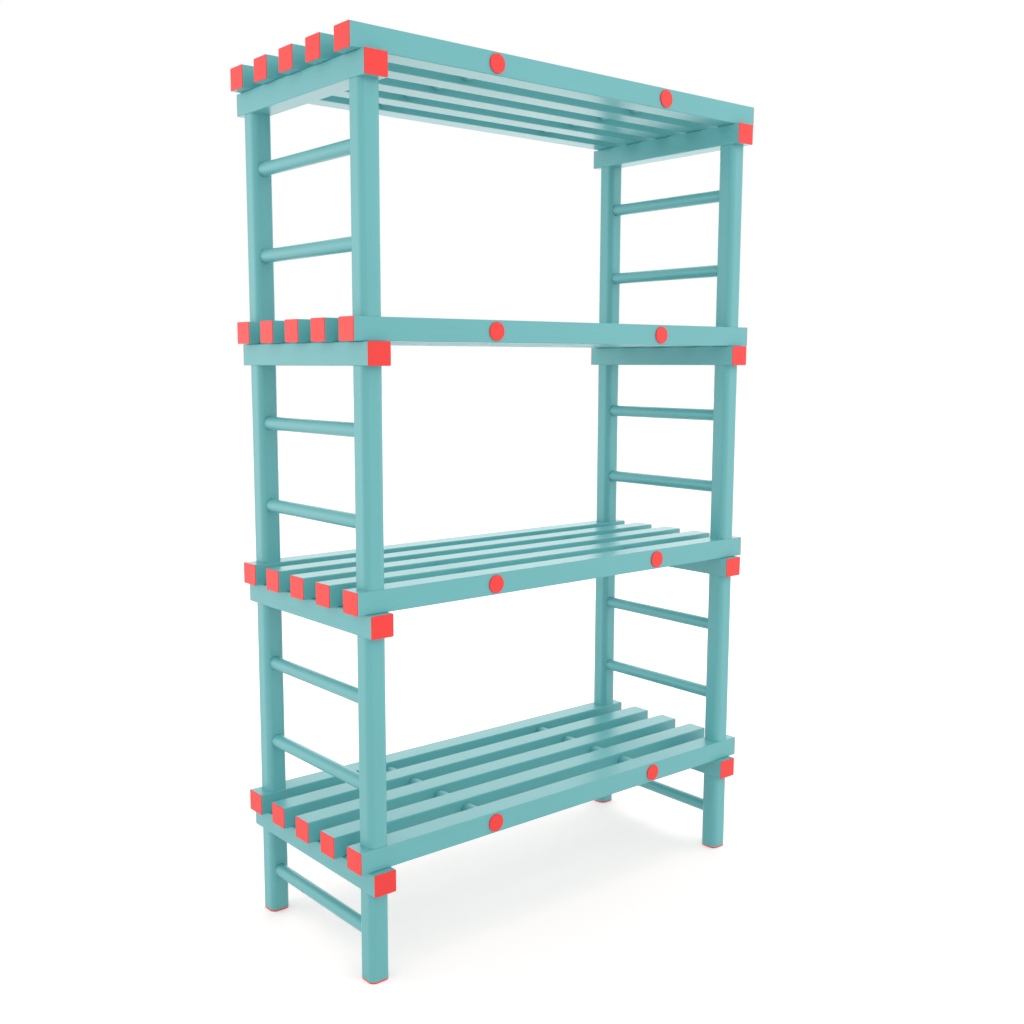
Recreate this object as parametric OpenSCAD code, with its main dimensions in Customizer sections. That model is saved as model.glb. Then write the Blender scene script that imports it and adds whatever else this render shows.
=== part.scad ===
// Slatted shelving unit of hollow plastic bars: four decks stacked on short legs and ladder frames.
// Every deck drops over plugs in the posts below it, and every frame drops over the plugs that
// come up through the deck. X runs along the decks, the front faces -Y, and Z is up from the
// floor under the middle of the unit. All sizes are in millimetres.

/* [Decks] */
// Length of a deck over its end caps
deck_len = 1000; // [720:1:1500]
// Number of slats between the front and the back slat
inner_slats = 3; // [1:1:6]
// Clear gap between neighbouring slats
slat_gap = 43; // [25:0.5:70]
// Set-back of a beam's outer face from the ends of the slats
beam_inset = 18.5; // [11:0.5:60]
// Reach of a beam, with its cap, past the outer slat
beam_out = 13.5; // [10:0.5:40]

/* [Bar profile] */
// Width of the bar that slats and beams are cut from
bar_w = 45; // [42:0.5:60]
// Height of the bar
bar_h = 40; // [36:0.5:60]
// Wall of the bar
bar_wall = 2.5; // [2:0.25:3]
// Outer corner radius of the bar
bar_round = 2; // [0.5:0.25:3]

/* [Legs and ladder frames] */
// Height of the lowest beams above the floor
leg_h = 168; // [150:1:300]
// Height of a ladder frame between two decks
frame_h = 374; // [340:1:600]
// Width of a square post
post_w = 40.5; // [37:0.5:43]
// Outer corner radius of a post
post_round = 12; // [6:0.5:14]
// Wall of a post
post_wall = 3; // [2.5:0.25:4]

/* [Rungs] */
// Diameter of a rung
rung_d = 25; // [16:0.5:28]
// Wall of a rung
rung_wall = 2.5; // [1.5:0.25:4]
// Length of a rung inside each post
rung_seat = 24; // [10:0.5:28]
// Height of the legs' rung above the floor
leg_rung_z = 84.5; // [60:0.5:88]
// Height of the lower rung above the foot of the lowest ladder frame
rung_low = 102; // [75:0.5:120]
// Height from the lower rung to the upper rung
rung_step = 155.5; // [60:0.5:170]
// Extra height of the rungs in each ladder frame than in the frame below it
rung_rise = 9; // [0:0.5:15]

/* [Corner plugs] */
// Length of a plug held in the post below
plug_root = 45; // [20:0.5:55]
// Length of a plug that stands into the post above
plug_tip = 45; // [20:0.5:55]
// Wall of a plug
plug_wall = 3; // [1.5:0.25:5]
// Bevel round the upper end of a plug
plug_lead = 2; // [0.5:0.25:2.5]

/* [Tie rods] */
// Diameter of a tie rod
rod_d = 25; // [16:0.5:28]
// Wall of a tie rod
rod_wall = 2.5; // [1.5:0.25:4]
// Distance of the left tie rod from the middle
rod_left = 200; // [80:1:260]
// Distance of the right tie rod from the middle
rod_right = 228; // [80:1:260]

/* [Caps and feet] */
// Thickness of the plate of an end cap
cap_t = 1.25; // [1:0.25:3]
// Length of an end cap inside the bar
cap_insert = 12; // [6:0.5:13]
// Wall of the inserts of caps and feet
insert_wall = 2; // [1:0.25:3]
// Diameter of a rod cap
disc_d = 33.5; // [30:0.5:36]
// Thickness of the plate of a rod cap
disc_t = 2.5; // [1:0.25:5]
// Length of a rod cap inside the rod
disc_insert = 15; // [6:0.5:25]
// Thickness of the sole of a foot
foot_t = 3; // [2:0.25:8]
// Length of a foot inside the leg
foot_insert = 22; // [10:0.5:30]

/* [Clearances] */
// Gap round a plug where decks and frames slide over it
slide_gap = 0.3; // [0.3:0.05:0.6]
// Gap round a rung or a tie rod in its holes
hole_gap = 0.2; // [0.1:0.05:0.4]
// Gap round the insert of a cap or a foot
insert_gap = 0.2; // [0.1:0.05:0.4]
// Gap over the plugs that end inside the top deck
stop_gap = 0.5; // [0.3:0.1:2]
// Extra corner radius of a plug's root, so that only its flat sides touch the post
root_relief = 0.5; // [0.25:0.25:2]

/* [Hidden] */

$fn = 48;
// Overrun of every cutting shape past the face that it cuts
cut = 1;
// Least corner radius inside a plug or a foot
least_round = 1;
turquoise = [0.46, 0.74, 0.75];
red = [1, 0.3, 0.29];

// The deck that carries nothing above it
top_deck = 4;
// The two sides along X or Y
left = -1;
right = 1;
front = -1;
back = 1;

bar_bore_w = bar_w - 2 * bar_wall;
bar_bore_h = bar_h - 2 * bar_wall;
slat_pitch = bar_w + slat_gap;
// Distance of the front and the back slat from the middle, which is also that of the posts
outer_y = slat_pitch * (inner_slats + 1) / 2;
inner_ys = [for (i = [1 : inner_slats]) i * slat_pitch - outer_y];
slat_ys = concat([-outer_y], inner_ys, [outer_y]);
deck_depth = 2 * outer_y + bar_w;
slat_len = deck_len - 2 * cap_t;
beam_len = deck_depth + 2 * (beam_out - cap_t);
// Distance of the beams and the posts from the middle
post_x = deck_len / 2 - beam_inset - bar_w / 2;
rod_xs = [-rod_left, rod_right];

post_bore = post_w - 2 * post_wall;
post_bore_round = post_round - post_wall;
rung_len = 2 * outer_y - post_w + 2 * rung_seat;

deck_t = 2 * bar_h;
plug_w = post_bore - 2 * slide_gap;
plug_round = post_bore_round - slide_gap;
plug_neck = deck_t + plug_tip;
top_plug_neck = deck_t - bar_wall - stop_gap;

// Heights of the underside of a deck's beams and of its slats, and of the top of its slats
function beam_z(deck) = leg_h + (deck - 1) * (frame_h + deck_t);
function slat_z(deck) = beam_z(deck) + bar_h;
function deck_top_z(deck) = slat_z(deck) + bar_h;
// Heights of the rungs of a ladder frame above its own foot
function rung_zs(frame) = [for (step = [0, rung_step]) rung_low + (frame - 1) * rung_rise + step];

// Rectangle with round corners, about the origin
module rounded_rect(w, h, r) {
    square([w - 2 * r, h], center = true);
    square([w, h - 2 * r], center = true);
    for (sx = [-1, 1], sy = [-1, 1])
        translate([sx * (w / 2 - r), sy * (h / 2 - r)]) circle(r = r);
}

// Round tube along Y, about the origin
module tube(outer_d, wall, length) {
    rotate([90, 0, 0]) difference() {
        cylinder(d = outer_d, h = length, center = true);
        cylinder(d = outer_d - 2 * wall, h = length + 2 * cut, center = true);
    }
}

// Places its children at a corner of the unit, turned so that their +Y side faces inwards
module at_corner(side_x, side_y) {
    translate([side_x * post_x, side_y * outer_y, 0]) rotate([0, 0, side_y == back ? 180 : 0])
        children();
}

module at_all_corners() {
    for (side_x = [left, right], side_y = [front, back]) at_corner(side_x, side_y) children();
}

// Hollow bar along X, standing on z = 0
module bar(length) {
    rotate([90, 0, 90]) linear_extrude(length, center = true) translate([0, bar_h / 2])
        difference() {
            rounded_rect(bar_w, bar_h, bar_round);
            square([bar_bore_w, bar_bore_h], center = true);
        }
}

// Shape of the hole that a plug slides through
module plug_passage(height) {
    translate([0, 0, -cut]) linear_extrude(height + cut)
        rounded_rect(plug_w + 2 * slide_gap, plug_w + 2 * slide_gap, plug_round + slide_gap);
}

// Slat with the two holes for the tie rods
module slat() {
    difference() {
        bar(slat_len);
        for (x = rod_xs) translate([x, 0, bar_h / 2]) rotate([90, 0, 0])
            cylinder(d = rod_d + 2 * hole_gap, h = bar_w + 2 * cut, center = true);
    }
}

// Front or back slat, which the plugs pass through. The top deck's keeps its upper wall whole.
module outer_slat(deck, side_y) {
    passage_h = deck == top_deck ? bar_h / 2 : bar_h + cut;
    color(turquoise) translate([0, side_y * outer_y, slat_z(deck)]) difference() {
        slat();
        for (side_x = [left, right]) translate([side_x * post_x, 0, 0]) plug_passage(passage_h);
    }
}

module inner_slats(deck) {
    color(turquoise) for (y = inner_ys) translate([0, y, slat_z(deck)]) slat();
}

// Cross beam under the ends of a deck's slats, standing on a pair of posts
module beam(deck, side_x) {
    color(turquoise) translate([side_x * post_x, 0, beam_z(deck)]) difference() {
        rotate([0, 0, 90]) bar(beam_len);
        for (y = [-outer_y, outer_y]) translate([0, y, 0]) plug_passage(bar_h + cut);
    }
}

// Rods through all slats of a deck, flush with the front and the back slat
module tie_rods(deck) {
    color(turquoise) for (x = rod_xs) translate([x, 0, slat_z(deck) + bar_h / 2])
        tube(rod_d, rod_wall, deck_depth);
}

// Cap in the +X end of a bar that ends at x = 0 and stands on z = 0
module end_cap() {
    insert_w = bar_bore_w - 2 * insert_gap;
    insert_h = bar_bore_h - 2 * insert_gap;
    rotate([90, 0, 90]) translate([0, bar_h / 2]) {
        linear_extrude(cap_t) rounded_rect(bar_w, bar_h, bar_round);
        translate([0, 0, -cap_insert]) linear_extrude(cap_insert + cap_t / 2) difference() {
            square([insert_w, insert_h], center = true);
            square([insert_w - 2 * insert_wall, insert_h - 2 * insert_wall], center = true);
        }
    }
}

// Caps in both ends of every slat and beam of a deck
module end_caps(deck) {
    color(red) {
        for (y = slat_ys, turn = [0, 180]) translate([0, y, slat_z(deck)]) rotate([0, 0, turn])
            translate([slat_len / 2, 0, 0]) end_cap();
        for (x = [-post_x, post_x], turn = [90, 270]) translate([x, 0, beam_z(deck)])
            rotate([0, 0, turn]) translate([beam_len / 2, 0, 0]) end_cap();
    }
}

// Round cap in the end of a tie rod that ends at z = 0 and comes from below
module rod_cap() {
    insert_d = rod_d - 2 * rod_wall - 2 * insert_gap;
    cylinder(d = disc_d, h = disc_t);
    translate([0, 0, -disc_insert]) difference() {
        cylinder(d = insert_d, h = disc_insert + disc_t / 2);
        translate([0, 0, -cut]) cylinder(d = insert_d - 2 * insert_wall, h = disc_insert + cut);
    }
}

// Caps on both ends of a deck's tie rods
module rod_caps(deck) {
    color(red) for (x = rod_xs, side_y = [front, back])
        translate([x, side_y * deck_depth / 2, slat_z(deck) + bar_h / 2])
            rotate([side_y == front ? 90 : -90, 0, 0]) rod_cap();
}

// Hollow post standing on z = 0, with a hole in its +Y wall for each rung
module post(height, rung_heights) {
    color(turquoise) difference() {
        linear_extrude(height) difference() {
            rounded_rect(post_w, post_w, post_round);
            rounded_rect(post_bore, post_bore, post_bore_round);
        }
        for (z = rung_heights) translate([0, 0, z]) rotate([-90, 0, 0])
            cylinder(d = rung_d + 2 * hole_gap, h = post_w);
    }
}

// Leg between its foot and the lowest beam
module leg(side_x, side_y) {
    translate([0, 0, foot_t]) at_corner(side_x, side_y) post(leg_h - foot_t, [leg_rung_z - foot_t]);
}

// Post of a ladder frame, which stands on the deck of the same number
module frame_post(frame, side_x, side_y) {
    translate([0, 0, deck_top_z(frame)]) at_corner(side_x, side_y) post(frame_h, rung_zs(frame));
}

// A rung on the left and on the right at each of the given heights
module rungs(heights) {
    color(turquoise) for (side_x = [left, right], z = heights) translate([side_x * post_x, 0, z])
        tube(rung_d, rung_wall, rung_len);
}

module frame_rungs(frame) {
    translate([0, 0, deck_top_z(frame)]) rungs(rung_zs(frame));
}

// Side view of a plug's neck, bevelled at its upper end, as thick as the plug
module neck_side(neck) {
    half = plug_w / 2;
    rotate([90, 0, 0]) linear_extrude(plug_w + 2 * cut, center = true) polygon([
        [-half, 0], [half, 0], [half, neck - plug_lead], [half - plug_lead, neck],
        [plug_lead - half, neck], [-half, neck - plug_lead]
    ]);
}

// Hollow plug with its root pressed into a post that ends at z = 0 and its neck standing up
module plug(neck) {
    plug_bore = plug_w - 2 * plug_wall;
    difference() {
        union() {
            translate([0, 0, -plug_root]) linear_extrude(plug_root)
                rounded_rect(post_bore, post_bore, post_bore_round + root_relief);
            intersection() {
                linear_extrude(neck) rounded_rect(plug_w, plug_w, plug_round);
                neck_side(neck);
                rotate([0, 0, 90]) neck_side(neck);
            }
        }
        translate([0, 0, -plug_root - cut]) linear_extrude(plug_root + neck + 2 * cut)
            rounded_rect(plug_bore, plug_bore, max(plug_round - plug_wall, least_round));
    }
}

module leg_plugs() {
    color(turquoise) translate([0, 0, leg_h]) at_all_corners() plug(plug_neck);
}

// Plugs in the tops of a ladder frame's posts, which join the deck and the frame above it
module frame_plugs(frame) {
    color(turquoise) translate([0, 0, deck_top_z(frame) + frame_h])
        at_all_corners() plug(frame + 1 == top_deck ? top_plug_neck : plug_neck);
}

// Feet under the legs: a sole with a hollow insert
module feet() {
    insert_w = post_bore - 2 * insert_gap;
    insert_bore = insert_w - 2 * insert_wall;
    insert_round = post_bore_round - insert_gap;
    color(red) at_all_corners() {
        linear_extrude(foot_t) rounded_rect(post_w, post_w, post_round);
        translate([0, 0, foot_t / 2]) linear_extrude(foot_insert + foot_t / 2) difference() {
            rounded_rect(insert_w, insert_w, insert_round);
            rounded_rect(insert_bore, insert_bore, max(insert_round - insert_wall, least_round));
        }
    }
}

outer_slat(1, front);  // deck1_front_slat
outer_slat(1, back);  // deck1_back_slat
inner_slats(1);  // deck1_inner_slats
beam(1, left);  // deck1_left_beam
beam(1, right);  // deck1_right_beam
tie_rods(1);  // deck1_tie_rods
end_caps(1);  // deck1_end_caps
rod_caps(1);  // deck1_rod_caps
outer_slat(2, front);  // deck2_front_slat
outer_slat(2, back);  // deck2_back_slat
inner_slats(2);  // deck2_inner_slats
beam(2, left);  // deck2_left_beam
beam(2, right);  // deck2_right_beam
tie_rods(2);  // deck2_tie_rods
end_caps(2);  // deck2_end_caps
rod_caps(2);  // deck2_rod_caps
outer_slat(3, front);  // deck3_front_slat
outer_slat(3, back);  // deck3_back_slat
inner_slats(3);  // deck3_inner_slats
beam(3, left);  // deck3_left_beam
beam(3, right);  // deck3_right_beam
tie_rods(3);  // deck3_tie_rods
end_caps(3);  // deck3_end_caps
rod_caps(3);  // deck3_rod_caps
outer_slat(4, front);  // deck4_front_slat
outer_slat(4, back);  // deck4_back_slat
inner_slats(4);  // deck4_inner_slats
beam(4, left);  // deck4_left_beam
beam(4, right);  // deck4_right_beam
tie_rods(4);  // deck4_tie_rods
end_caps(4);  // deck4_end_caps
rod_caps(4);  // deck4_rod_caps
leg(left, front);  // leg_front_left
leg(left, back);  // leg_back_left
leg(right, front);  // leg_front_right
leg(right, back);  // leg_back_right
rungs([leg_rung_z]);  // leg_rungs
leg_plugs();
feet();
frame_post(1, left, front);  // frame1_post_front_left
frame_post(1, left, back);  // frame1_post_back_left
frame_post(1, right, front);  // frame1_post_front_right
frame_post(1, right, back);  // frame1_post_back_right
frame_rungs(1);  // frame1_rungs
frame_plugs(1);  // frame1_plugs
frame_post(2, left, front);  // frame2_post_front_left
frame_post(2, left, back);  // frame2_post_back_left
frame_post(2, right, front);  // frame2_post_front_right
frame_post(2, right, back);  // frame2_post_back_right
frame_rungs(2);  // frame2_rungs
frame_plugs(2);  // frame2_plugs
frame_post(3, left, front);  // frame3_post_front_left
frame_post(3, left, back);  // frame3_post_back_left
frame_post(3, right, front);  // frame3_post_front_right
frame_post(3, right, back);  // frame3_post_back_right
frame_rungs(3);  // frame3_rungs
frame_plugs(3);  // frame3_plugs
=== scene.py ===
"""Looks of a slatted shelving unit of turquoise plastic with red caps.

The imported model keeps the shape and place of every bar, post, rung, rod and plug, which get their finish
here. The red end caps, rod caps and feet are modelled here as moulded pieces, in the places of the plain
ones. Lengths are in metres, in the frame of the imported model.
"""

import math

import bmesh
import bpy
from bpy.props import FloatProperty, FloatVectorProperty, PointerProperty
from mathutils import Euler, Matrix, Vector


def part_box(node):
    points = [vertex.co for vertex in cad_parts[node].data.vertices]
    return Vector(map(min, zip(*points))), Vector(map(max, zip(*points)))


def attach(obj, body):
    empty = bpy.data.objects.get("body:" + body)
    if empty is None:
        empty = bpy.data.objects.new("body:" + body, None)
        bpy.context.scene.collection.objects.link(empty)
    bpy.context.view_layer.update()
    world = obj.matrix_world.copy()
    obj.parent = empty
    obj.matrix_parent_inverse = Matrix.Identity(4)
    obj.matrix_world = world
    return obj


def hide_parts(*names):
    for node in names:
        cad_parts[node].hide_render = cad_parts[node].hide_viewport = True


bl_info = {
    "name": "Slatted Shelving Unit",
    "version": (1, 0, 0),
    "blender": (4, 5, 0),
    "location": "View3D > Sidebar > Shelving",
    "description": "Finishes a slatted plastic shelving unit: plastics, red caps and feet, and its stage",
    "category": "Object",
}

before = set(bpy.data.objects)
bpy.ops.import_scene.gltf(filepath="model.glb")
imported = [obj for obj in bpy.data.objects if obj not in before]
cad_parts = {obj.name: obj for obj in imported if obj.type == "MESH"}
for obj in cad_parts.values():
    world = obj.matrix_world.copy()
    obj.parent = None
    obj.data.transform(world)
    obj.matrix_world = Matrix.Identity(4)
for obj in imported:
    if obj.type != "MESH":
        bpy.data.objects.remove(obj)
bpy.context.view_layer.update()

DECKS = (1, 2, 3, 4)
DECK_BODIES = {1: "base", 2: "deck_2", 3: "deck_3", 4: "deck_4"}
MM = 0.001

WHITE = (1.0, 1.0, 1.0, 1.0)

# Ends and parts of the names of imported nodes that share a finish
SLAT_ENDINGS = ("_slat", "_slats")
BEAM_ENDINGS = ("_beam",)
RUNG_ENDINGS = ("_rungs",)
ROD_ENDINGS = ("_rods",)
PLUG_ENDINGS = ("_plugs",)
LEG_PARTS = ("leg_front", "leg_back")
POST_PARTS = ("_post_",) + LEG_PARTS

# The axes that the bars are extruded along
ALONG_X, ALONG_Y, ALONG_Z = 0, 1, 2

# Nearly all of a noise texture lies between these values
NOISE_LOW, NOISE_HIGH = 0.35, 0.65
# Steps of finer detail in the patches of tone, and in the grain and the lines of the die
TONE_DETAIL, SURFACE_DETAIL = 2.0, 3.0
# How strongly those steps show in the lines of the die
LINE_ROUGHNESS = 0.6
# Share of the lines of the die in the tone of an extruded piece
LINE_SHARE = 0.5
# How far the roughness strays over a plastic, as a share of it
POLISH_RANGE = 0.08
# Index of refraction of the plastics
PLASTIC_IOR = 1.5

# Fineness of the round forms, and the angle above which an edge stays sharp
RIM_SEGMENTS = 4
SEAM_SEGMENTS = 1
CAP_CORNER_SEGMENTS = 6
FOOT_CORNER_SEGMENTS = 12
ROD_CAP_SIDES = 64
SHARP_EDGE = math.radians(40)
# Two heights closer than this are the same
SAME_HEIGHT = 1e-7

# Turns a cap so that its plate faces +X, its width lies along Y and its height along Z
FACE_X = Matrix(((0, 0, 1), (1, 0, 0), (0, 1, 0))).to_4x4()
# Turns it from there about Z, to face each side
RIGHT, BACK, LEFT, FRONT = (math.radians(turn) for turn in (0, 90, 180, 270))

# The soft lamps, upright panels of light: name, heading from the middle of the unit in degrees from +Y
# towards +X, heights of the lower and upper edge, width, and the setting with the power
LAMPS = (
    ("left_lamp", -52, (0.1, 2.4), 4.0, "left_power"),
    ("back_lamp", 45, (0.1, 4.5), 4.2, "back_power"),
    ("right_lamp", 130, (0.1, 4.5), 3.0, "right_power"),
    ("front_lamp", 180, (2.4, 4.4), 2.0, "front_power"),
)
# How far the camera sees
FARTHEST = 200


class ShelfPlastics(bpy.types.PropertyGroup):
    """Colours and surface of the two plastics"""

    turquoise: FloatVectorProperty(
        name="Turquoise", description="Colour of bars, posts, rungs and rods", subtype="COLOR",
        size=3, min=0, max=1, default=(0.140, 0.448, 0.463))
    red: FloatVectorProperty(
        name="Red", description="Colour of caps and feet", subtype="COLOR",
        size=3, min=0, max=1, default=(0.90, 0.035, 0.030))
    bar_roughness: FloatProperty(
        name="Bar Roughness", description="Roughness of the extruded plastic", subtype="FACTOR",
        min=0, max=1, default=0.34)
    cap_roughness: FloatProperty(
        name="Cap Roughness", description="Roughness of the moulded plastic", subtype="FACTOR",
        min=0, max=1, default=0.40)
    gloss: FloatProperty(
        name="Gloss", description="Strength of the plastic's reflections, 0.5 being common plastic",
        subtype="FACTOR", min=0, max=1, default=0.46)
    streak_width: FloatProperty(
        name="Streak Width", description="Width of the fine lines that the extruder's die leaves",
        unit="LENGTH", min=0.2 * MM, max=20 * MM, default=3 * MM)
    streak_length: FloatProperty(
        name="Streak Length", description="Length over which such a line fades",
        unit="LENGTH", min=10 * MM, max=5, default=700 * MM)
    streak_depth: FloatProperty(
        name="Streak Depth", description="Depth of such a line",
        unit="LENGTH", min=0, max=0.2 * MM, default=0.012 * MM)
    grain_size: FloatProperty(
        name="Grain Size", description="Size of the grain of the surface",
        unit="LENGTH", min=0.1 * MM, max=5 * MM, default=0.8 * MM)
    grain_depth: FloatProperty(
        name="Grain Depth", description="Depth of the grain of the surface",
        unit="LENGTH", min=0, max=0.1 * MM, default=0.006 * MM)
    tone_size: FloatProperty(
        name="Tone Size", description="Size of the faint patches of lighter and darker plastic",
        unit="LENGTH", min=10 * MM, max=2, default=240 * MM)
    tone_range: FloatProperty(
        name="Tone Range", description="How much lighter or darker the plastic gets", subtype="FACTOR",
        min=0, max=0.3, default=0.03)


class ShelfCaps(bpy.types.PropertyGroup):
    """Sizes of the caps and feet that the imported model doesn't give"""

    corner: FloatProperty(
        name="Corner Radius", description="Radius of the corners of an end cap",
        unit="LENGTH", min=0.5 * MM, max=6 * MM, default=2 * MM)
    rim: FloatProperty(
        name="Rim Radius", description="Radius of the outer rim of a cap's plate",
        unit="LENGTH", min=0.1 * MM, max=1.5 * MM, default=0.6 * MM)
    seam: FloatProperty(
        name="Seam", description="Bevel where a cap's plate meets its bar, which shows as a fine line",
        unit="LENGTH", min=0.05 * MM, max=0.5 * MM, default=0.2 * MM)
    bar_wall: FloatProperty(
        name="Bar Wall", description="Wall of the bars that the caps are pressed into",
        unit="LENGTH", min=1 * MM, max=5 * MM, default=2.5 * MM)
    post_wall: FloatProperty(
        name="Post Wall", description="Wall of the legs that the feet are pressed into",
        unit="LENGTH", min=1 * MM, max=5 * MM, default=3 * MM)
    insert_wall: FloatProperty(
        name="Insert Wall", description="Wall of the hollow insert behind a cap's plate",
        unit="LENGTH", min=0.5 * MM, max=4 * MM, default=2 * MM)
    insert_gap: FloatProperty(
        name="Insert Gap", description="Gap round the insert",
        unit="LENGTH", min=0, max=1 * MM, default=0.2 * MM)
    cap_insert: FloatProperty(
        name="Cap Insert", description="Length of an end cap inside its bar",
        unit="LENGTH", min=3 * MM, max=13 * MM, default=12 * MM)
    rod_insert: FloatProperty(
        name="Rod Cap Insert", description="Length of a rod cap inside its rod",
        unit="LENGTH", min=3 * MM, max=30 * MM, default=15 * MM)
    foot_insert: FloatProperty(
        name="Foot Insert", description="Length of a foot inside its leg",
        unit="LENGTH", min=3 * MM, max=40 * MM, default=22 * MM)
    post_corner: FloatProperty(
        name="Foot Corner Radius", description="Radius of the corners of a foot, as those of the leg",
        unit="LENGTH", min=2 * MM, max=18 * MM, default=12 * MM)


class ShelfStage(bpy.types.PropertyGroup):
    """Camera, lamps and surroundings"""

    camera_place: FloatVectorProperty(
        name="Camera Place", description="Where the camera stands", subtype="TRANSLATION",
        unit="LENGTH", size=3, default=(-1.538, -1.801, 1.081))
    camera_heading: FloatProperty(
        name="Camera Heading", description="Turn of the camera from +Y towards +X",
        unit="ROTATION", default=math.radians(39.09))
    camera_pitch: FloatProperty(
        name="Camera Pitch", description="Tilt of the camera, negative looking down",
        unit="ROTATION", default=math.radians(-7.67))
    focal_length: FloatProperty(
        name="Focal Length", description="Focal length of the lens, in millimetres on a 36 mm sensor",
        min=10, max=300, default=40.98)
    shift: FloatVectorProperty(
        name="Lens Shift", description="Shift of the picture in widths of the picture",
        size=2, default=(0.0305, 0.0076))
    floor_width: FloatProperty(
        name="Floor Width", description="Width of the floor", unit="LENGTH", min=2, max=200, default=60)
    floor_colour: FloatVectorProperty(
        name="Floor", description="Colour that the floor lights the unit with", subtype="COLOR",
        size=3, min=0, max=1, default=(0.8, 0.8, 0.8))
    floor_glow: FloatVectorProperty(
        name="Floor Glow", description="Light that the floor gives off where the camera sees it",
        subtype="COLOR", size=3, min=0, max=1, default=(0.25, 0.157, 0.14))
    daylight: FloatProperty(
        name="Daylight", description="Strength of the even light from all round",
        min=0, max=3, default=0.97)
    lamp_distance: FloatProperty(
        name="Lamp Distance", description="Distance of the soft lamps from the middle of the unit",
        unit="LENGTH", min=1.5, max=20, default=4)
    left_power: FloatProperty(
        name="Left Lamp", description="Power of the low lamp on the left", unit="POWER",
        min=0, max=1000, default=30)
    back_power: FloatProperty(
        name="Back Lamp", description="Power of the tall lamp behind on the right", unit="POWER",
        min=0, max=1000, default=55)
    right_power: FloatProperty(
        name="Right Lamp", description="Power of the tall lamp in front on the right", unit="POWER",
        min=0, max=1000, default=23)
    front_power: FloatProperty(
        name="Front Lamp", description="Power of the high lamp in front", unit="POWER",
        min=0, max=1000, default=22)


def nodes_named(endings=(), parts=()):
    """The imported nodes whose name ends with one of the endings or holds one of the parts"""
    return [node for name, node in sorted(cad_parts.items())
            if name.endswith(endings) or any(part in name for part in parts)]


def new_node(tree, kind, inputs=None, **settings):
    """Adds a shader node with its settings and the values of its sockets"""
    node = tree.nodes.new(kind)
    for name, value in settings.items():
        setattr(node, name, value)
    for socket, value in (inputs or {}).items():
        node.inputs[socket].default_value = value
    return node


def shade_of(colour, factor):
    """A colour made lighter or darker by a factor, with alpha"""
    return [min(1.0, channel * factor) for channel in colour] + [1.0]


def noise(tree, place, inputs):
    """The value of a noise texture on the given coordinates"""
    node = new_node(tree, "ShaderNodeTexNoise", inputs)
    tree.links.new(place, node.inputs["Vector"])
    return node.outputs["Fac"]


def relief(tree, height, depth, under=None):
    """The normals of a surface that a pattern of some depth roughens, on top of the relief under it"""
    node = new_node(tree, "ShaderNodeBump", {"Strength": 1.0, "Distance": depth})
    tree.links.new(height, node.inputs["Height"])
    if under is not None:
        tree.links.new(under, node.inputs["Normal"])
    return node.outputs["Normal"]


def plastic(name, colour, roughness, axis=None):
    """Satin plastic with faint patches of tone and a fine grain.

    axis is the one that an extruded piece runs along, which adds the lines of the die.
    """
    finish = bpy.context.scene.shelf_plastics
    material = bpy.data.materials.new(name)
    material.use_nodes = True
    material.diffuse_color = shade_of(colour, 1)
    tree = material.node_tree
    tree.nodes.clear()
    link = tree.links.new
    place = new_node(tree, "ShaderNodeTexCoord").outputs["Object"]

    pattern = noise(tree, place, {"Scale": 1 / finish.tone_size, "Detail": TONE_DETAIL})
    grain = noise(tree, place, {"Scale": 1 / finish.grain_size, "Detail": SURFACE_DETAIL})
    normals = relief(tree, grain, finish.grain_depth)
    if axis is not None:
        stretch = [1 / finish.streak_width] * 3
        stretch[axis] = 1 / finish.streak_length
        lines_place = new_node(tree, "ShaderNodeMapping", {"Scale": stretch})
        link(place, lines_place.inputs["Vector"])
        lines = noise(tree, lines_place.outputs["Vector"],
                      {"Scale": 1.0, "Detail": SURFACE_DETAIL, "Roughness": LINE_ROUGHNESS})
        patches = new_node(tree, "ShaderNodeMath", {1: 1 - LINE_SHARE}, operation="MULTIPLY")
        link(pattern, patches.inputs[0])
        both = new_node(tree, "ShaderNodeMath", {1: LINE_SHARE}, operation="MULTIPLY_ADD")
        link(lines, both.inputs[0])
        link(patches.outputs["Value"], both.inputs[2])
        pattern = both.outputs["Value"]
        normals = relief(tree, lines, finish.streak_depth, normals)

    contrast = new_node(tree, "ShaderNodeMapRange", {"From Min": NOISE_LOW, "From Max": NOISE_HIGH})
    link(pattern, contrast.inputs["Value"])
    paint = new_node(tree, "ShaderNodeMix", data_type="RGBA")
    paint.inputs["A"].default_value = shade_of(colour, 1 - finish.tone_range)
    paint.inputs["B"].default_value = shade_of(colour, 1 + finish.tone_range)
    link(contrast.outputs["Result"], paint.inputs["Factor"])

    polish = new_node(tree, "ShaderNodeMapRange", {
        "From Min": NOISE_LOW, "From Max": NOISE_HIGH,
        "To Min": roughness * (1 - POLISH_RANGE), "To Max": roughness * (1 + POLISH_RANGE)})
    link(pattern, polish.inputs["Value"])

    shader = new_node(tree, "ShaderNodeBsdfPrincipled", {
        "IOR": PLASTIC_IOR, "Specular IOR Level": finish.gloss})
    link(normals, shader.inputs["Normal"])
    link(paint.outputs["Result"], shader.inputs["Base Color"])
    link(polish.outputs["Result"], shader.inputs["Roughness"])
    surface = new_node(tree, "ShaderNodeOutputMaterial")
    link(shader.outputs["BSDF"], surface.inputs["Surface"])
    return material


def finish_nodes(nodes, material):
    """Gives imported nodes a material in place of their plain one"""
    if not nodes:
        raise RuntimeError("No packed node takes the material " + material.name)
    for node in nodes:
        for slot in node.material_slots:
            slot.material = material


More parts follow.
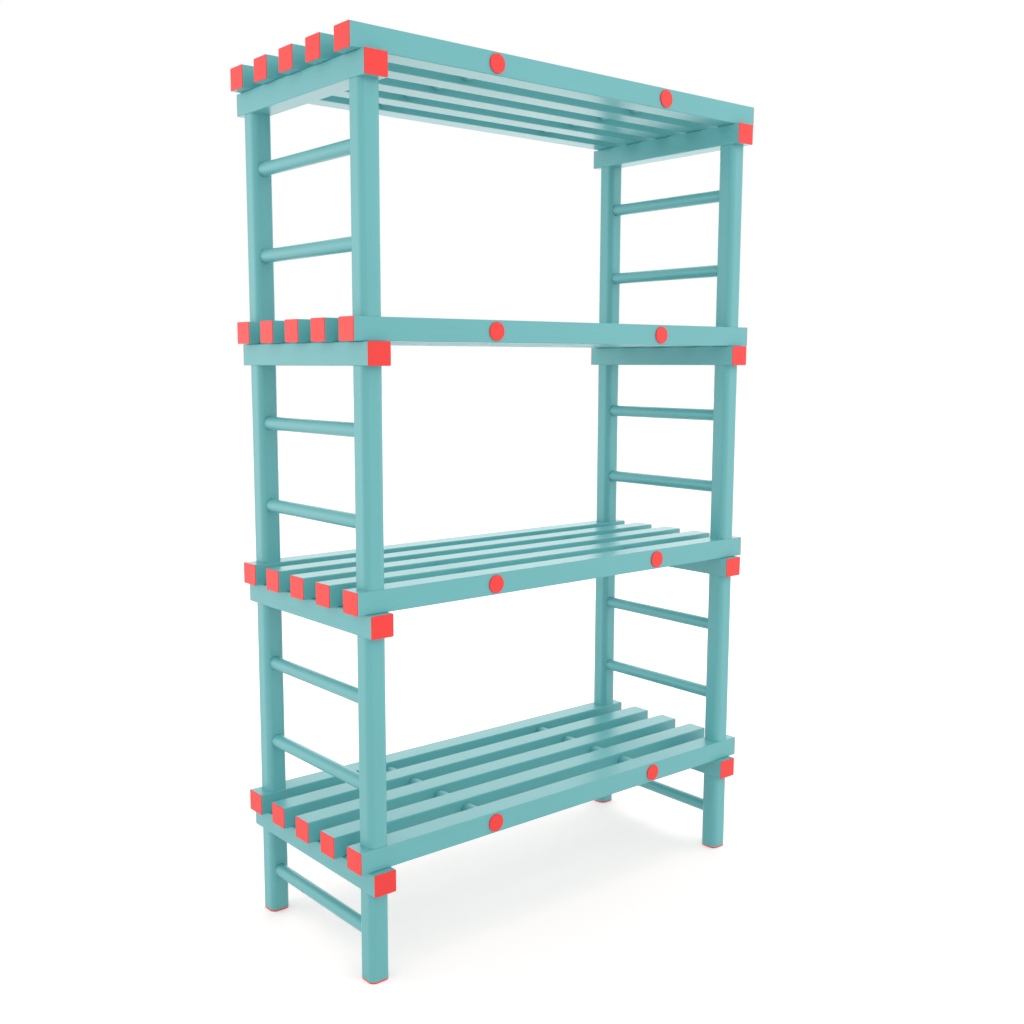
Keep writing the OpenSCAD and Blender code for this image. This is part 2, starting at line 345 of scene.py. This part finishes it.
def extruded(bm, face, rise, scale=(1.0, 1.0)):
    """Extrudes a flat face along Z by rise, resizes the new face about the Z axis and returns it.

    The old face is kept. It closes the back of a plate, and each later step leaves it as a spare face,
    hidden in the bar or leg that the cap is pressed into.
    """
    made = bmesh.ops.extrude_face_region(bm, geom=[face])["geom"]
    verts = [part for part in made if isinstance(part, bmesh.types.BMVert)]
    bmesh.ops.scale(bm, vec=(scale[0], scale[1], 1.0), verts=verts)
    bmesh.ops.translate(bm, vec=(0.0, 0.0, rise), verts=verts)
    return next(part for part in made if isinstance(part, bmesh.types.BMFace))


def largest_face(bm, height):
    """The largest face that lies flat at a height"""
    flat = [face for face in bm.faces
            if all(abs(vert.co.z - height) < SAME_HEIGHT for vert in face.verts)]
    return max(flat, key=lambda face: face.calc_area())


def rounded(bm, geom, radius, segments, affect):
    """Rounds corners or edges off"""
    bmesh.ops.bevel(bm, geom=geom, offset=radius, offset_type="OFFSET", segments=segments,
                    profile=0.5, affect=affect, material=-1)


def rectangle_outline(width, height, corner, segments):
    """A flat rectangle with round corners, about the origin, made from a square of 1 m"""
    bm = bmesh.new()
    bmesh.ops.create_grid(bm, x_segments=1, y_segments=1, size=0.5)
    bmesh.ops.scale(bm, vec=(width, height, 1.0), verts=bm.verts)
    rounded(bm, bm.verts[:], corner, segments, "VERTICES")
    return bm


def disc_outline(radius):
    """A flat disc about the origin"""
    bm = bmesh.new()
    bmesh.ops.create_circle(bm, cap_ends=True, segments=ROD_CAP_SIDES, radius=radius)
    return bm


def moulded_cap(bm, plate, outer, inner, insert_length):
    """A plate on z = 0 with a round rim on top and a hollow insert below, as one mesh.

    bm holds the plate's flat outline and is used up, plate is its thickness, and outer and inner are the
    sizes of the insert and of its hollow, as shares of the outline.
    """
    caps = bpy.context.scene.shelf_caps
    top = extruded(bm, next(iter(bm.faces)), plate)
    rounded(bm, top.edges[:], caps.rim, RIM_SEGMENTS, "EDGES")
    bmesh.ops.inset_region(bm, faces=[largest_face(bm, plate)], thickness=caps.rim / 2,
                           use_even_offset=True)
    rounded(bm, largest_face(bm, 0.0).edges[:], caps.seam, SEAM_SEGMENTS, "EDGES")
    root = extruded(bm, largest_face(bm, 0.0), 0.0, outer)
    tip = extruded(bm, root, -insert_length)
    mouth = extruded(bm, tip, 0.0, [i / o for i, o in zip(inner, outer)])
    # The hollow reaches up to half a plate below the plate
    extruded(bm, mouth, insert_length - plate / 2)
    bmesh.ops.recalc_face_normals(bm, faces=bm.faces[:])
    mesh = bpy.data.meshes.new("cap_form")
    bm.to_mesh(mesh)
    bm.free()
    return mesh


def build_piece(name, form, places, material, body, nodes):
    """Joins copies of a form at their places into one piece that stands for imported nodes"""
    bm = bmesh.new()
    for place in places:
        first = len(bm.verts)
        bm.from_mesh(form)
        bm.verts.ensure_lookup_table()
        bmesh.ops.transform(bm, matrix=place, verts=bm.verts[first:])
    for face in bm.faces:
        face.smooth = True
    for edge in bm.edges:
        edge.smooth = edge.calc_face_angle(0.0) < SHARP_EDGE
    mesh = bpy.data.meshes.new(name)
    bm.to_mesh(mesh)
    bm.free()
    mesh.materials.append(material)
    piece = bpy.data.objects.new(name, mesh)
    bpy.context.scene.collection.objects.link(piece)
    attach(piece, body)
    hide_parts(*nodes)


def red_plastic():
    """The moulded red plastic, made once"""
    finish = bpy.context.scene.shelf_plastics
    found = bpy.data.materials.get("moulded_red")
    return found or plastic("moulded_red", finish.red, finish.cap_roughness)


def facing(point, turn):
    """The place of a cap whose plate lies at a point, facing the given way"""
    return Matrix.Translation(point) @ Matrix.Rotation(turn, 4, "Z") @ FACE_X


def bar_width(deck):
    """The width of a deck's bars"""
    low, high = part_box(f"deck{deck}_front_slat")
    return high.y - low.y


def slat_rows(deck):
    """The middles of a deck's slats along Y, from the front to the back"""
    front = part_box(f"deck{deck}_front_slat")[0].y
    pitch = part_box(f"deck{deck}_inner_slats")[0].y - front
    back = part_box(f"deck{deck}_back_slat")[0].y
    half = bar_width(deck) / 2
    return [front + half + row * pitch for row in range(round((back - front) / pitch) + 1)]


def end_cap_places(deck):
    """The places of the caps on both ends of every slat and beam of a deck"""
    low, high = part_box(f"deck{deck}_front_slat")
    middle_z = (low.z + high.z) / 2
    places = [facing((x, y, middle_z), turn)
              for y in slat_rows(deck) for x, turn in ((low.x, LEFT), (high.x, RIGHT))]
    for side in ("left", "right"):
        low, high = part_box(f"deck{deck}_{side}_beam")
        middle = (low + high) / 2
        places += [facing((middle.x, y, middle.z), turn) for y, turn in ((low.y, FRONT), (high.y, BACK))]
    return places


class SHELF_OT_stage(bpy.types.Operator):
    """Makes the floor, the lamps, the surroundings and the camera"""

    bl_idname = "shelf.stage"
    bl_label = "Stage"

    def execute(self, context):
        stage = context.scene.shelf_stage
        context.scene.view_settings.view_transform = "Standard"
        self.make_floor(context, stage)
        self.make_world(context, stage)
        self.make_camera(context, stage)
        for name, heading, heights, width, power in LAMPS:
            self.soft_lamp(context, name, heading, heights, width, getattr(stage, power))
        return {"FINISHED"}

    def soft_lamp(self, context, name, heading, heights, width, power):
        """An upright panel of light that faces the unit"""
        low, high = heights
        turn = math.radians(heading)
        distance = context.scene.shelf_stage.lamp_distance
        panel = bpy.data.lights.new(name, "AREA")
        panel.shape = "RECTANGLE"
        panel.size = width
        panel.size_y = high - low
        panel.energy = power
        lamp = bpy.data.objects.new(name, panel)
        lamp.location = (distance * math.sin(turn), distance * math.cos(turn), (low + high) / 2)
        lamp.rotation_euler = Euler((-math.pi / 2, 0.0, -turn))
        lamp.visible_camera = False
        context.scene.collection.objects.link(lamp)

    def make_floor(self, context, stage):
        """A plain floor that takes the shadow of the unit, and fades to white away from it"""
        bm = bmesh.new()
        bmesh.ops.create_grid(bm, x_segments=1, y_segments=1, size=stage.floor_width / 2)
        mesh = bpy.data.meshes.new("floor")
        bm.to_mesh(mesh)
        bm.free()
        material = bpy.data.materials.new("pale_floor")
        material.use_nodes = True
        tree = material.node_tree
        tree.nodes.clear()
        link = tree.links.new
        diffuse = new_node(tree, "ShaderNodeBsdfDiffuse", {"Color": (*stage.floor_colour, 1.0)})
        seen = new_node(tree, "ShaderNodeBsdfDiffuse", {"Color": WHITE})
        glow = new_node(tree, "ShaderNodeEmission", {
            "Color": (*stage.floor_glow, 1.0), "Strength": 1.0})
        lifted = new_node(tree, "ShaderNodeAddShader")
        link(seen.outputs["BSDF"], lifted.inputs[0])
        link(glow.outputs["Emission"], lifted.inputs[1])
        surface = new_node(tree, "ShaderNodeOutputMaterial")
        link(self.by_sight(tree, diffuse.outputs["BSDF"], lifted.outputs["Shader"]),
             surface.inputs["Surface"])
        mesh.materials.append(material)
        floor = bpy.data.objects.new("floor", mesh)
        context.scene.collection.objects.link(floor)

    def sight(self, tree):
        """1 for what the camera sees, straight, in a reflection or through glass, and otherwise 0"""
        path = new_node(tree, "ShaderNodeLightPath")
        total = path.outputs["Is Camera Ray"]
        for kind in ("Is Glossy Ray", "Is Transmission Ray"):
            join = new_node(tree, "ShaderNodeMath", operation="ADD", use_clamp=True)
            tree.links.new(total, join.inputs[0])
            tree.links.new(path.outputs[kind], join.inputs[1])
            total = join.outputs["Value"]
        return total

    def by_sight(self, tree, unseen, seen):
        """Mixes the shader for what isn't seen, which only gives light, with the one for what is seen"""
        both = new_node(tree, "ShaderNodeMixShader")
        tree.links.new(self.sight(tree), both.inputs["Fac"])
        tree.links.new(unseen, both.inputs[1])
        tree.links.new(seen, both.inputs[2])
        return both.outputs["Shader"]

    def make_world(self, context, stage):
        """White surroundings, as bright as daylight where they aren't seen"""
        world = bpy.data.worlds.new("white_surroundings")
        world.use_nodes = True
        tree = world.node_tree
        tree.nodes.clear()
        light = new_node(tree, "ShaderNodeBackground", {"Color": WHITE, "Strength": stage.daylight})
        seen = new_node(tree, "ShaderNodeBackground", {"Color": WHITE, "Strength": 1.0})
        surface = new_node(tree, "ShaderNodeOutputWorld")
        tree.links.new(self.by_sight(tree, light.outputs["Background"], seen.outputs["Background"]),
                       surface.inputs["Surface"])
        context.scene.world = world

    def make_camera(self, context, stage):
        """The camera at the photographed angle"""
        lens = bpy.data.cameras.new("camera")
        lens.lens = stage.focal_length
        lens.shift_x, lens.shift_y = stage.shift
        lens.clip_end = FARTHEST
        camera = bpy.data.objects.new("camera", lens)
        camera.location = stage.camera_place
        camera.rotation_euler = Euler((math.pi / 2 + stage.camera_pitch, 0.0, -stage.camera_heading))
        context.scene.collection.objects.link(camera)
        context.scene.camera = camera


class SHELF_OT_slats(bpy.types.Operator):
    """Finishes the slats, extruded along X"""

    bl_idname = "shelf.slats"
    bl_label = "Slats"

    def execute(self, context):
        finish = context.scene.shelf_plastics
        material = plastic("turquoise_along_x", finish.turquoise, finish.bar_roughness, ALONG_X)
        finish_nodes(nodes_named(SLAT_ENDINGS), material)
        return {"FINISHED"}


class SHELF_OT_cross_bars(bpy.types.Operator):
    """Finishes the beams, rungs and tie rods, extruded along Y"""

    bl_idname = "shelf.cross_bars"
    bl_label = "Beams, Rungs and Rods"

    def execute(self, context):
        finish = context.scene.shelf_plastics
        material = plastic("turquoise_along_y", finish.turquoise, finish.bar_roughness, ALONG_Y)
        finish_nodes(nodes_named(BEAM_ENDINGS + RUNG_ENDINGS + ROD_ENDINGS), material)
        return {"FINISHED"}


class SHELF_OT_posts(bpy.types.Operator):
    """Finishes the legs and posts, extruded along Z"""

    bl_idname = "shelf.posts"
    bl_label = "Legs and Posts"

    def execute(self, context):
        finish = context.scene.shelf_plastics
        material = plastic("turquoise_along_z", finish.turquoise, finish.bar_roughness, ALONG_Z)
        finish_nodes(nodes_named((), POST_PARTS), material)
        return {"FINISHED"}


class SHELF_OT_plugs(bpy.types.Operator):
    """Finishes the moulded corner plugs"""

    bl_idname = "shelf.plugs"
    bl_label = "Corner Plugs"

    def execute(self, context):
        finish = context.scene.shelf_plastics
        material = plastic("moulded_turquoise", finish.turquoise, finish.cap_roughness)
        finish_nodes(nodes_named(PLUG_ENDINGS), material)
        return {"FINISHED"}


class SHELF_OT_end_caps(bpy.types.Operator):
    """Models the moulded caps in the ends of the slats and beams"""

    bl_idname = "shelf.end_caps"
    bl_label = "End Caps"

    def execute(self, context):
        caps = context.scene.shelf_caps
        low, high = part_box("deck1_front_slat")
        width, height = high.y - low.y, high.z - low.z
        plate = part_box("deck1_end_caps")[1].x - high.x
        slack = 2 * (caps.bar_wall + caps.insert_gap)
        walls = 2 * caps.insert_wall
        outer = ((width - slack) / width, (height - slack) / height)
        inner = ((width - slack - walls) / width, (height - slack - walls) / height)
        outline = rectangle_outline(width, height, caps.corner, CAP_CORNER_SEGMENTS)
        form = moulded_cap(outline, plate, outer, inner, caps.cap_insert)
        for deck in DECKS:
            build_piece(f"end_caps_{deck}", form, end_cap_places(deck), red_plastic(),
                        DECK_BODIES[deck], [f"deck{deck}_end_caps"])
        bpy.data.meshes.remove(form)
        return {"FINISHED"}


class SHELF_OT_rod_caps(bpy.types.Operator):
    """Models the round caps on the ends of the tie rods"""

    bl_idname = "shelf.rod_caps"
    bl_label = "Rod Caps"

    def execute(self, context):
        caps = context.scene.shelf_caps
        for deck in DECKS:
            low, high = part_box(f"deck{deck}_rod_caps")
            radius = (high.z - low.z) / 2
            middle_z = (high.z + low.z) / 2
            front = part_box(f"deck{deck}_front_slat")[0].y
            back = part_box(f"deck{deck}_back_slat")[1].y
            plate = high.y - back
            rod_low, rod_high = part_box(f"deck{deck}_tie_rods")
            rod_radius = (rod_high.z - rod_low.z) / 2
            bore = rod_radius - caps.bar_wall
            outer = (bore - caps.insert_gap) / radius
            inner = (bore - caps.insert_gap - caps.insert_wall) / radius
            form = moulded_cap(disc_outline(radius), plate, (outer, outer), (inner, inner),
                               caps.rod_insert)
            places = [facing((x, y, middle_z), turn)
                      for x in (low.x + radius, high.x - radius)
                      for y, turn in ((front, FRONT), (back, BACK))]
            build_piece(f"rod_caps_{deck}", form, places, red_plastic(),
                        DECK_BODIES[deck], [f"deck{deck}_rod_caps"])
            bpy.data.meshes.remove(form)
        return {"FINISHED"}


class SHELF_OT_feet(bpy.types.Operator):
    """Models the feet under the legs"""

    bl_idname = "shelf.feet"
    bl_label = "Feet"

    def execute(self, context):
        caps = context.scene.shelf_caps
        legs = [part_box(node.name) for node in nodes_named((), LEG_PARTS)]
        low, high = legs[0]
        width = high.x - low.x
        plate = low.z
        slack = 2 * (caps.post_wall + caps.insert_gap)
        outer = (width - slack) / width
        inner = (width - slack - 2 * caps.insert_wall) / width
        outline = rectangle_outline(width, width, caps.post_corner, FOOT_CORNER_SEGMENTS)
        form = moulded_cap(outline, plate, (outer, outer), (inner, inner), caps.foot_insert)
        down = Matrix.Rotation(math.pi, 4, "X")
        places = []
        for low, high in legs:
            middle = (low + high) / 2
            places.append(Matrix.Translation((middle.x, middle.y, plate)) @ down)
        build_piece("moulded_feet", form, places, red_plastic(), "base", ["feet"])
        bpy.data.meshes.remove(form)
        return {"FINISHED"}


class SHELF_PT_panel(bpy.types.Panel):
    """Lists the sizes, colours and makers of the shelving unit"""

    bl_idname = "SHELF_PT_panel"
    bl_label = "Shelving Unit"
    bl_space_type = "VIEW_3D"
    bl_region_type = "UI"
    bl_category = "Shelving"

    def draw(self, context):
        scene = context.scene
        for group in (scene.shelf_plastics, scene.shelf_caps, scene.shelf_stage):
            column = self.layout.column(align=True)
            for name in group.__annotations__:
                column.prop(group, name)
        for maker in MAKERS:
            self.layout.operator(maker.bl_idname)


MAKERS = (SHELF_OT_stage, SHELF_OT_slats, SHELF_OT_cross_bars, SHELF_OT_posts, SHELF_OT_plugs,
          SHELF_OT_end_caps, SHELF_OT_rod_caps, SHELF_OT_feet)
CLASSES = (ShelfPlastics, ShelfCaps, ShelfStage) + MAKERS + (SHELF_PT_panel,)


def register():
    """Registers the classes and gives the scene its settings"""
    for cls in CLASSES:
        bpy.utils.register_class(cls)
    bpy.types.Scene.shelf_plastics = PointerProperty(type=ShelfPlastics)
    bpy.types.Scene.shelf_caps = PointerProperty(type=ShelfCaps)
    bpy.types.Scene.shelf_stage = PointerProperty(type=ShelfStage)


def unregister():
    """Takes the settings and the classes away again"""
    del bpy.types.Scene.shelf_stage
    del bpy.types.Scene.shelf_caps
    del bpy.types.Scene.shelf_plastics
    for cls in reversed(CLASSES):
        bpy.utils.unregister_class(cls)


def main():
    """Makes the stage and every piece"""
    register()
    bpy.ops.shelf.stage()
    bpy.ops.shelf.slats()
    bpy.ops.shelf.cross_bars()
    bpy.ops.shelf.posts()
    bpy.ops.shelf.plugs()
    bpy.ops.shelf.end_caps()
    bpy.ops.shelf.rod_caps()
    bpy.ops.shelf.feet()


if __name__ == "__main__":
    main()
